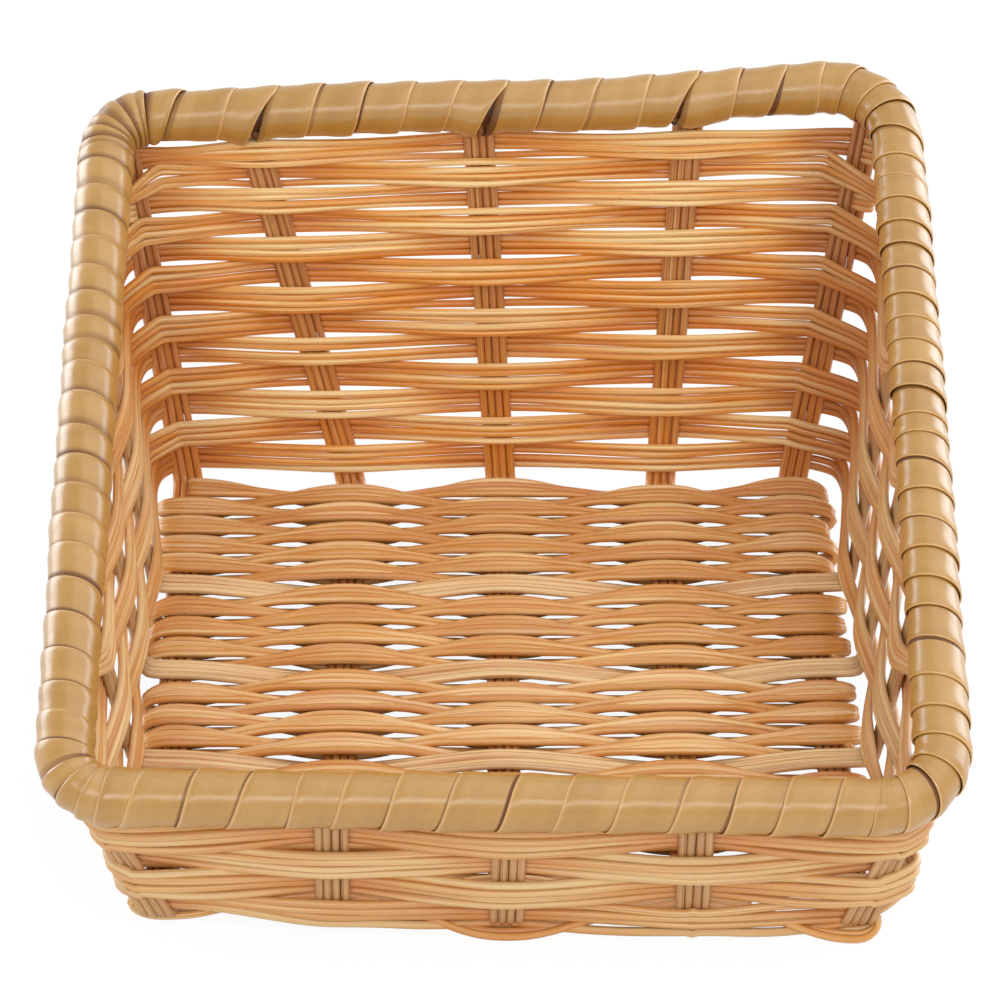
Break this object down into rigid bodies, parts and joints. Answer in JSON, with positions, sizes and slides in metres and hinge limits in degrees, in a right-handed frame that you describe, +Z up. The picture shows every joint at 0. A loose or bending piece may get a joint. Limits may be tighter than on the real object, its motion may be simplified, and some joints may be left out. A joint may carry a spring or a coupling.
{
  "type": "produce basket",
  "caption": "Square slant-front basket of woven reed: open stake-and-strand walls high at the back and low in front, a dense woven base and a rod rim wound with a glossy strip.",
  "frame": {"origin": "on the plane the base stands on, under the middle of the rim's outline (bottom centre of the bounding box)", "axes": "+Z up, -Y towards the low front, +Y towards the high back, +X to the right seen from the front"},
  "size_m": [0.3086, 0.3059, 0.1733],
  "materials": {
    "stake_reed": "split and peeled reed, sealed, satin",
    "base_reed": "round peeled reed, sealed, satin",
    "wall_reed": "round peeled reed, sealed, semi-gloss golden tan",
    "rim_rod": "plain round rod, hidden under the wrap",
    "rim_strip": "flat binding strip, smooth and glossy khaki tan"
  },
  "bodies": {
    "root": {"long_stake_1": "stake_reed", "long_stake_2": "stake_reed", "long_stake_3": "stake_reed", "long_stake_4": "stake_reed", "long_stake_5": "stake_reed", "cross_stake_1": "stake_reed", "cross_stake_2": "stake_reed", "cross_stake_3": "stake_reed", "cross_stake_4": "stake_reed", "base_weaver_1": "base_reed", "base_weaver_2": "base_reed", "base_weaver_3": "base_reed", "base_weaver_4": "base_reed", "base_weaver_5": "base_reed", "wall_weaver_01": "wall_reed", "wall_weaver_02": "wall_reed", "wall_weaver_03": "wall_reed", "wall_weaver_04": "wall_reed", "wall_weaver_05": "wall_reed", "wall_weaver_06": "wall_reed", "wall_weaver_07": "wall_reed", "wall_weaver_08": "wall_reed", "wall_weaver_09": "wall_reed", "wall_weaver_10": "wall_reed", "wall_weaver_11": "wall_reed", "wall_weaver_12": "wall_reed", "wall_weaver_13": "wall_reed", "rim_core": "rim_rod", "rim_wrap": "rim_strip"}
  },
  "joints": []
}
